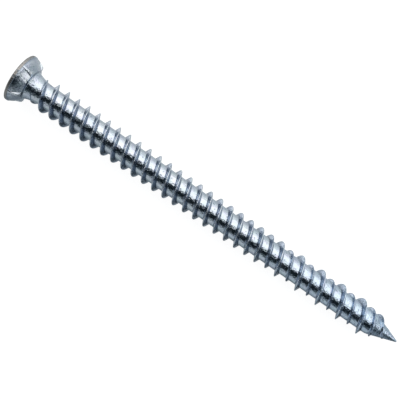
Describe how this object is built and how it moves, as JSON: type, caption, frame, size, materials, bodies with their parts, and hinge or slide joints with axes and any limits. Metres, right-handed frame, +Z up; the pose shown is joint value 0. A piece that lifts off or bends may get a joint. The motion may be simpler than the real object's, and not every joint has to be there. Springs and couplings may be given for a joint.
{
  "type": "concrete frame screw",
  "caption": "Long zinc-plated frame screw with a coarse masonry thread, a sharp point and a countersunk head with ribs beneath and a lobed drive recess.",
  "frame": {"origin": "on the floor under the middle of the screw, which lies at rest on its head's rim and on a thread crest near the point", "axes": "+X along the screw from head to point, +Z up, +Y to its left side seen from the head"},
  "size_m": [0.102, 0.0116, 0.0116],
  "materials": {
    "zinc_steel": "bright blue-white zinc plating"
  },
  "bodies": {
    "root": {"frame_screw": "zinc_steel"}
  },
  "joints": []
}
